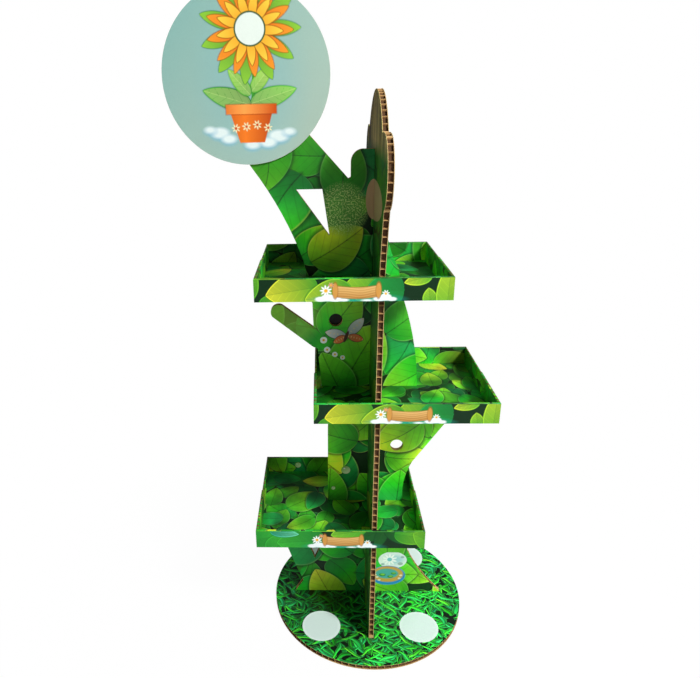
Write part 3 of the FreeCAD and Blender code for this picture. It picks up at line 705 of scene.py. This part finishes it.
def sign_ink(x, y):
    """Potted flower on soft puffs of cloud, on a muted sky that pales to the lower right."""
    ink = blend("#85B0A8", "#A4BBAC", np.clip((x - y + 240) / 480, 0, 1))
    lay(ink, ellipse(x, y, (8, -20), (95, 140)), "#74B2B8", 60.0, 0.3)
    for cx, cy, size in ((-58, -104, 20), (-40, -116, 16), (-78, -98, 12), (62, -112, 22),
                         (40, -124, 18), (84, -104, 13), (8, -128, 16)):
        lay(ink, ellipse(x, y, (cx, cy - 3), (size, size * 0.6)), "#6FB2CE", 8.0, 0.7)
        lay(ink, ellipse(x, y, (cx, cy), (size * 0.9, size * 0.5)), "#DDEBE8", 6.0)
    stem = np.abs(x - 10 - 6 * np.sin((y + 60) / 40)) - 3.6
    lay(ink, np.maximum(stem, np.abs(y + 20) - 70), "#3F9A2C")
    for base, angle, length, half, low, high in (
            ((8, -50), 0.28, 96, 19, "#1F7A2C", "#58B836"),
            ((8, -52), 2.85, 100, 20, "#14642A", "#3F9E32"),
            ((10, -28), 0.85, 66, 13, "#3C9A2C", "#9ACB3C"),
            ((8, -34), 2.3, 64, 13, "#2C8A2C", "#7CBF3A")):
        leaf_ink(ink, x, y, base, angle, length, half, low, high, "#C9E58A")
    heart = (12, 84)
    for ring, count, reach, half, inner, outer in ((0, 11, 100, 21, "#17752B", "#8CC63A"),
                                                   (1, 13, 86, 16, "#D85A10", "#F0962A"),
                                                   (2, 13, 66, 13, "#E8820F", "#F2CE44")):
        for number in range(count):
            angle = FULL_TURN * (number + 0.5 * (ring % 2)) / count + 0.2 * ring
            distance, share, _ = petal(x, y, heart, angle, reach, half, 1.0)
            lay(ink, distance, "#8A4A0A" if ring else "#176B22", 2.5)
            lay(ink, distance + 1.2, blend(inner, outer, share))
    lay(ink, ellipse(x, y, heart, (31, 31)), "#3C5A32")
    lay(ink, ellipse(x, y, heart, (28, 28)), "#DFEAE0")
    round_light = np.clip(1 - np.abs(x + 6) / 62, 0, 1)
    pot = np.maximum(np.abs(x - 8) - (44 + (y + 62) * 0.3), np.abs(y + 92) - 32)
    lay(ink, pot, blend("#B23C0C", "#EE7A22", round_light))
    band = np.maximum(np.abs(x - 8) - 51, np.abs(y + 60) - 9)
    lay(ink, band - 1.5, "#8A2E0A", 2.0, 0.6)
    lay(ink, band, blend("#C94E10", "#FBA04A", round_light))
    for cx in (-30, -8, 14, 36):
        daisy_ink(ink, x, y, (cx + 5, -96 + (cx % 3) * 3), 9, 7, "#F4E6B0", "#C9480C")
    return ink


LABEL_MIDDLE = 195
LABEL_CLOUDS = ((-64, 5, 11, 5), (-50, 8, 13, 7), (-36, 5, 13, 6), (-20, 3, 10, 3),
                (26, 2, 10, 2), (50, 5, 12, 5), (62, 8, 11, 7), (74, 4, 9, 4))


def label_ink(ink, x, y):
    """Lays the plain label: a tan plank on low white puffs, a teal glow and a few daisies."""
    x = x - LABEL_MIDDLE
    lay(ink, ellipse(x, y, (8, 3), (76, 11)), "#1FA58C", 8.0, 0.8)
    for cx, cy, rx, ry in LABEL_CLOUDS:
        lay(ink, ellipse(x, y, (cx, cy), (rx, ry)), "#EFF8F8", 2.0)
    bend = 0.0022 * (x - 6) ** 2
    plank = np.maximum(np.abs(x - 6) - 42, np.abs(y - 17 - bend) - 11)
    lay(ink, plank - 1.2, "#9A5B1C", 1.5, 0.8)
    grain = 0.5 + 0.5 * np.sin((y - bend) * 1.3 + np.sin(x * 0.11) * 1.5)
    lit = np.clip((y - bend - 6) / 22, 0, 1) * 0.6 + 0.4 * grain
    lay(ink, plank, blend("#B0742C", "#E6BC74", lit))
    for end in (-36, 48):
        curl = ellipse(x, y, (end, 22), (5, 15))
        lay(ink, curl - 1, "#9A5B1C", 1.5, 0.8)
        lay(ink, curl, "#CF9546")
    daisy_ink(ink, x, y, (-54, 22), 12)
    daisy_ink(ink, x, y, (-44, 33), 6, 7, "#E8876A")
    daisy_ink(ink, x, y, (62, 15), 8, 8)


# Leaves of the lips, lowest first: base in mm from the lip's left foot, angle, length, half width,
# and the tones at the base and at the tip
HIGH_LIP_LEAVES = (
    ((6, -22), 0.25, 84, 30, "#2E8F22", "#7FC22A"),
    ((-34, 6), 0.9, 66, 26, "#2C8A24", "#72C02A"),
    ((126, 30), 3.3, 104, 36, "#45A824", "#F0EC3A"),
    ((110, -26), 0.9, 84, 30, "#2A9424", "#8ED02E"),
    ((256, 26), 3.05, 78, 36, "#2FA426", "#A8DC30"),
    ((196, 10), 3.2, 96, 38, "#39A626", "#C0E034"),
    ((292, 20), 3.1, 74, 36, "#0C8038", "#1FAA48"),
    ((344, 50), 3.4, 54, 13, "#5FB826", "#C8DE36"),
    ((344, -8), 1.72, 34, 14, "#58B628", "#A8D42E"),
    ((375, -24), 1.52, 100, 23, "#6CBE28", "#C8E034"))
LOW_LIP_LEAVES = (
    ((-30, 16), 0.2, 84, 40, "#128A2C", "#34B838"),
    ((32, -20), 0.9, 74, 30, "#1C9A30", "#44C038"),
    ((160, 20), 3.2, 112, 40, "#128A34", "#3EC23A"),
    ((34, 44), -0.1, 66, 12, "#1FA084", "#6CD6AC"),
    ((190, -14), 1.1, 60, 28, "#1F9E34", "#6CC82C"),
    ((262, 50), 3.3, 90, 28, "#2FA82A", "#8CD22E"),
    ((296, 56), 3.75, 74, 16, "#063A16", "#0C5222"),
    ((296, 56), -1.9, 62, 14, "#063A16", "#0C5222"),
    ((296, 56), -0.8, 62, 13, "#063A16", "#0E5A24"),
    ((318, 40), -0.15, 90, 24, "#2FA024", "#8CD02E"),
    ((424, 4), 2.6, 74, 28, "#2FA024", "#7CC62A"))


def lip_ink(leaves):
    """Painter of a tray's lip with the given leaves."""
    def ink_for(x, y):
        """Row of large leaves, lowest first, and the label over them."""
        ink = np.tile(linear("#062C12"), (len(x), 1))
        for leaf in leaves:
            leaf_ink(ink, x, y, *leaf)
        label_ink(ink, x, y)
        return ink
    return ink_for


WINGS = ((0.85, 58, 17, "#8C9CA4", "#E4E8E0"), (2.95, 52, 16, "#8C9CA4", "#D8DED8"),
         (-0.25, 40, 13, "#B06A44", "#F47A3A"), (-2.65, 36, 12, "#B06A44", "#F47A3A"))
BUTTERFLY_BODY = ((0, 0), (4, 15), -0.35)
BUTTERFLY_FLOWERS = ((-44, -32, 9), (-26, -44, 8), (-52, -8, 10), (-8, -52, 7))


def butterfly_parts(x, y):
    """The four wings, each as (distance, share, across, inner colour, outer colour)."""
    return [(*petal(x, y, (2, 2), angle, length, half, 0.8), inner, outer)
            for angle, length, half, inner, outer in WINGS]


def butterfly_shape(x, y):
    """Distance from the nearest wing or flower."""
    shape = ellipse(x, y, *BUTTERFLY_BODY)
    for part in butterfly_parts(x, y):
        shape = np.minimum(shape, part[0])
    for cx, cy, reach in BUTTERFLY_FLOWERS:
        shape = np.minimum(shape, ellipse(x, y, (cx, cy), (reach * 0.82, reach * 0.82)))
    return shape


def butterfly_ink(x, y):
    """Butterfly with grey and orange wings above four small white flowers."""
    ink = np.tile(linear("#1F5A2A"), (len(x), 1))
    for distance, share, across, inner, outer in butterfly_parts(x, y):
        lay(ink, distance, "#3A3230")
        lay(ink, distance + 1.4, blend(inner, outer, share))
        spots = np.abs((share * 6) % 1 - 0.5) * 8 - 1.2
        lay(ink, np.maximum(spots, np.abs(across) - 2.0), "#E8D88A", 0.8, 0.7)
    lay(ink, ellipse(x, y, *BUTTERFLY_BODY), "#4A2E22")
    for cx, cy, reach in BUTTERFLY_FLOWERS:
        lay(ink, ellipse(x, y, (cx, cy), (reach, reach)), "#F0F8F2")
        daisy_ink(ink, x, y, (cx, cy), reach, 6)
    return ink


POND = ((-6, -24), (48, 33))
FLOWER_BED = ((6, 28), (38, 28))


def pond_shape(x, y):
    """Distance from the pond or the pale flower bed above it."""
    return np.minimum(ellipse(x, y, *POND), ellipse(x, y, *FLOWER_BED))


def pond_ink(x, y):
    """Pond with a sandy bank, lily pads and pebbles, under a pale bed with a big white flower."""
    ink = np.tile(linear("#DDEBE8"), (len(x), 1))
    lay(ink, ellipse(x, y, (14, 30), (20, 14)), "#A8D4DA", 12.0)
    daisy_ink(ink, x, y, (-2, 30), 21, 10, "#F2F8F6", "#7CC4CE")
    for cx, cy, size in ((27, 16, 7), (-20, 14, 5), (32, 38, 5)):
        lay(ink, ellipse(x, y, (cx, cy), (size, size * 0.7)), "#9CB8B4")
    lay(ink, ellipse(x, y, *POND), "#2C8AC8")
    lay(ink, ellipse(x, y, (-6, -20), (42, 27)), "#C99E4A", 3.0)
    lay(ink, ellipse(x, y, (-8, -18), (31, 17)), "#4FA8A0", 3.0)
    for cx, cy, size in ((-20, -22, 9), (2, -28, 8), (10, -17, 7)):
        lay(ink, ellipse(x, y, (cx, cy), (size, size * 0.55)), "#2C7A34")
        lit = ellipse(x, y, (cx + 1, cy + 1), (size * 0.7, size * 0.35))
        lay(ink, lit, "#7CC04A", 2.0)
    for cx, cy in ((-34, -30), (-40, -22), (26, -34), (30, -24), (-28, -40)):
        lay(ink, ellipse(x, y, (cx, cy), (4, 3)), "#E8DCC0")
    return ink


def flat_print(name, painter, origin, area, step, lift, shape=None):
    """Flat print on a front face, as a grid step mm apart, cut out where shape is above 0.

    area is the print's width and height and its left and low edges as seen from the origin.
    """
    width, height, left, low = area
    across, rise = np.meshgrid(np.linspace(left, left + width, int(width / step) + 1),
                               np.linspace(low, low + height, int(height / step) + 1))
    rows, columns = across.shape
    points = on_face(across, rise, origin, *FRONT, lift)
    faces = grid_faces(rows, columns)
    if shape is not None:
        middle = shape(across.ravel(), rise.ravel())[faces].mean(axis=1)
        used, faces = np.unique(faces[middle < 0], return_inverse=True)
        faces = faces.reshape(-1, 4)
        points, across, rise = points[used], across.ravel()[used], rise.ravel()[used]
    new_print(name, points, faces.tolist(), painter(across.ravel(), rise.ravel()))


def dew_ink(x, y):
    """Drop of dew: darker at its upper left, lit at the lower right, with one white glint."""
    reach = np.hypot(x, y)
    size = reach.max()
    ink = blend("#8CCB58", "#F0FFD0", np.clip(0.5 + (x - y) / (2.6 * size), 0, 1))
    lay(ink, size - 0.8 - reach, "#3F8A30", 0.8)
    glint = ellipse(x, y, (-0.3 * size, 0.35 * size), (0.2 * size, 0.16 * size))
    lay(ink, glint, "#FFFFFF")
    return ink


def shade_ink(x, y):
    """Near black, for the floor of the blind hole that the photo shows dark."""
    return np.tile(linear("#0B0A09"), (len(x), 1))


def polar_grid(radii, spokes, start=0.0, sweep=FULL_TURN):
    """Disc, or a sector of one, as flat points and faces.

    The first point is the centre, and then each ring has its points at r * (cos a, sin a), with
    the angles a evenly spaced. Triangles fan out from the centre and quads join the rings.
    """
    gaps = spokes if sweep == FULL_TURN else spokes - 1
    angles = start + np.arange(spokes) * sweep / gaps
    across = np.concatenate([[0.0], (np.array(radii)[:, None] * np.cos(angles)).ravel()])
    rise = np.concatenate([[0.0], (np.array(radii)[:, None] * np.sin(angles)).ravel()])
    here = np.arange(gaps) + 1
    after = here % spokes + 1
    fan = np.stack([np.zeros(gaps, int), here, after], axis=1)
    ring = (np.arange(len(radii) - 1) * spokes)[:, None]
    quads = np.stack([ring + here, ring + here + spokes, ring + after + spokes, ring + after],
                     axis=2)
    return across, rise, fan.tolist() + quads.reshape(-1, 4).tolist()


def round_print(name, painter, origin, right, up, radius, rings, spokes, lift, slot,
                start=0.0, sweep=FULL_TURN):
    """Round print, or a sector of one, as a polar grid whose rings rise evenly to the rim."""
    radii = np.arange(1, rings + 1) * radius / rings
    across, rise, faces = polar_grid(radii, spokes, start, sweep)
    points = on_face(across, rise, origin, right, up, lift)
    new_print(name, points, faces, painter(across, rise))


def white_dot_ink(x, y):
    """Plain white sticker, a little greyer at its rim."""
    reach = np.hypot(x, y)
    ink = np.tile(linear("#F4FCFA"), (len(x), 1))
    lay(ink, 1.5 - np.abs(reach - reach.max() + 2), "#D3E5DF", 2.0)
    return ink


def tan_dot_ink(x, y):
    """Plain wood-coloured spot with upright streaks."""
    streak = 0.5 + 0.5 * np.sin(x * 0.9 + 2 * np.sin(y * 0.05))
    return blend("#B09068", "#DCC8A0", streak * 0.35)


# Faces and places in mm. The prints lie 0.08 to 0.15 mm off their faces.
BOARD_FRONT = -6
BASE_TOP = 12
SIGN_CENTRE = (-265, -11, 1318.5)
DOT_PLACES = ((-125, -130), (125, -130), (-125, 130), (125, 130))
DEW_PLACES = ((-60, 403, 12), (-92, 349, 6), (58, 560, 6))
CROWN_SPOT = {"radius": 42, "rings": 16, "spokes": 49, "lift": 0.08, "slot": "leaf_board",
              "sweep": math.pi}
CROWN_SPOT_HEIGHT = 1075
LIP_SIZE = (388, 45.5)

round_print("sign_print", sign_ink, SIGN_CENTRE, *FRONT, radius=167.2, rings=150, spokes=600,
            lift=0.1, slot="sign_card")
for number, (x, y) in enumerate(DOT_PLACES, start=1):
    round_print("base_dot_%d" % number, white_dot_ink, (x, y, BASE_TOP), *TOP, radius=49, rings=12,
                spokes=72, lift=0.15, slot="grass_board")
# The crown's spot runs round a corner: a half of a long ellipse on the spine board's left face,
# and a half of a narrow one on the tree board's front.
round_print("crown_spot", tan_dot_ink, (-6, -6.2, CROWN_SPOT_HEIGHT), (0, -4.3, 0.26), (0, 0, 1),
            start=-math.pi / 2, **CROWN_SPOT)
round_print("crown_spot_side", tan_dot_ink, (-6.2, -6, CROWN_SPOT_HEIGHT), (0.4, 0, 0), (0, 0, 1),
            start=math.pi / 2, **CROWN_SPOT)
round_print("hole_shade", shade_ink, (-86, 5, 804.9), *FRONT, radius=15.3, rings=3, spokes=48,
            lift=0.1, slot="leaf_board")
for number, (x, z, size) in enumerate(DEW_PLACES, start=1):
    round_print("dew_drop_%d" % number, dew_ink, (x, BOARD_FRONT, z), *FRONT, radius=size, rings=8,
                spokes=32, lift=0.15, slot="leaf_board")
round_print("dew_drop_4", dew_ink, (-187, 125.5, 333), *FRONT, radius=9, rings=8, spokes=32,
            lift=0.15, slot="leaf_tray")
flat_print("butterfly_print", butterfly_ink, (-62, BOARD_FRONT, 764), (124, 112, -62, -62),
           step=0.5, lift=0.15, shape=butterfly_shape)
flat_print("pond_print", pond_ink, (62, BOARD_FRONT, 90), (110, 112, -56, -58),
           step=0.5, lift=0.15, shape=pond_shape)
for tray, leaves in (("top_tray", HIGH_LIP_LEAVES), ("middle_tray", HIGH_LIP_LEAVES),
                     ("bottom_tray", LOW_LIP_LEAVES)):
    corner = tuple(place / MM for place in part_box(tray)[0])
    flat_print(tray + "_lip_print", lip_ink(leaves), corner, (*LIP_SIZE, 0, 0), step=0.8,
               lift=0.12)


def sign_board():
    """White-lined corrugated board, off-white, whose flutes show as faint upright bands."""
    material, tree, shader = new_material("white_lined_corrugated_board")
    place = add(tree, COORDINATES).outputs["Object"]
    flutes = add(tree, "ShaderNodeTexWave", {"Vector": place, "Scale": 22.0}, bands_direction="X")
    tint = add(tree, RAMP, {0: flutes.outputs["Fac"]})
    set_ramp(tint, [(0.0, "#D8D2C4"), (1.0, "#E6E1D6")])
    feed(tree, shader, {"Base Color": tint, "Roughness": 0.7})
    return material


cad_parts["round_sign"].material_slots[0].material = sign_board()


# Floor and light

# Place, the point it is aimed at, side in m and power in W
LAMPS = {
    "key_softbox": ((2.7, -2.6, 3.9), (0, 0, 0.6), 0.9, 310),
    "front_softbox": ((1.5, -3.2, 1.3), (0, 0, 0.6), 1.8, 18),
    "left_softbox": ((-2.4, -2.2, 1.0), (0, 0, 0.8), 1.6, 13),
    "back_softbox": ((0.8, 2.2, 2.2), (0, 0, 0.8), 1.4, 24)}
FLOOR_RINGS = (1.0, 2.0, 4.0, 8.0)


def studio_paper():
    """White studio paper: seen directly it glows white, and it gives a grey light and soft shade.

    The glow is a little weaker near the stand, so that a faint shadow lies round the base.
    """
    material, tree, shader = new_material("white_studio_paper")
    tree.nodes.remove(shader)
    place = add(tree, COORDINATES).outputs["Object"]
    away = add(tree, VECTOR_MATH, {0: place}, operation="LENGTH")
    fade = add(tree, MAP_RANGE, {"Value": away.outputs["Value"], "From Min": 0.25, "From Max": 1.0,
                                 "To Min": 0.97, "To Max": 1.0})
    seen = add(tree, "ShaderNodeLightPath").outputs["Is Camera Ray"]
    amount = add(tree, MATH, {0: seen, 1: fade}, operation="MULTIPLY")
    tint = add(tree, MIX, {0: seen, 6: (0.45, 0.45, 0.45, 1), 7: (0.95, 0.95, 0.95, 1)},
               data_type="RGBA")
    matt = add(tree, "ShaderNodeBsdfDiffuse", {"Color": tint.outputs[2]})
    glow = add(tree, "ShaderNodeEmission", {"Color": (1, 1, 1, 1), "Strength": 1.0})
    mixed = add(tree, "ShaderNodeMixShader", {0: amount, 1: matt, 2: glow})
    feed(tree, tree.nodes["Material Output"], {"Surface": mixed})
    return material


def studio():
    """Round paper floor, a sky that is white to the eye and dim as a light, and the softboxes."""
    floor_mesh = bpy.data.meshes.new("studio_floor")
    across, rise, faces = polar_grid(FLOOR_RINGS, 96)
    floor_mesh.from_pydata(np.stack([across, rise, 0 * rise], axis=1).tolist(), [], faces)
    floor_mesh.materials.append(studio_paper())
    floor = new_object("studio_floor", floor_mesh)

    world = bpy.data.worlds.new("studio_world")
    bpy.context.scene.world = world
    world.use_nodes = True
    tree = world.node_tree
    seen = add(tree, "ShaderNodeLightPath").outputs["Is Camera Ray"]
    strength = add(tree, MAP_RANGE, {"Value": seen, "To Min": 0.12, "To Max": 1.0})
    feed(tree, tree.nodes["Background"], {"Color": (1, 1, 1, 1), "Strength": strength})

    for name, (place, aim, size, power) in LAMPS.items():
        lamp = bpy.data.lights.new(name, "AREA")
        lamp.shape = "SQUARE"
        lamp.size = size
        lamp.energy = power
        holder = new_object(name, lamp)
        turn = (Vector(aim) - Vector(place)).to_track_quat("-Z", "Y").to_matrix().to_4x4()
        holder.matrix_world = Matrix.Translation(place) @ turn
        holder.visible_glossy = name == "key_softbox"


studio()
bpy.context.scene.view_settings.view_transform = "Standard"
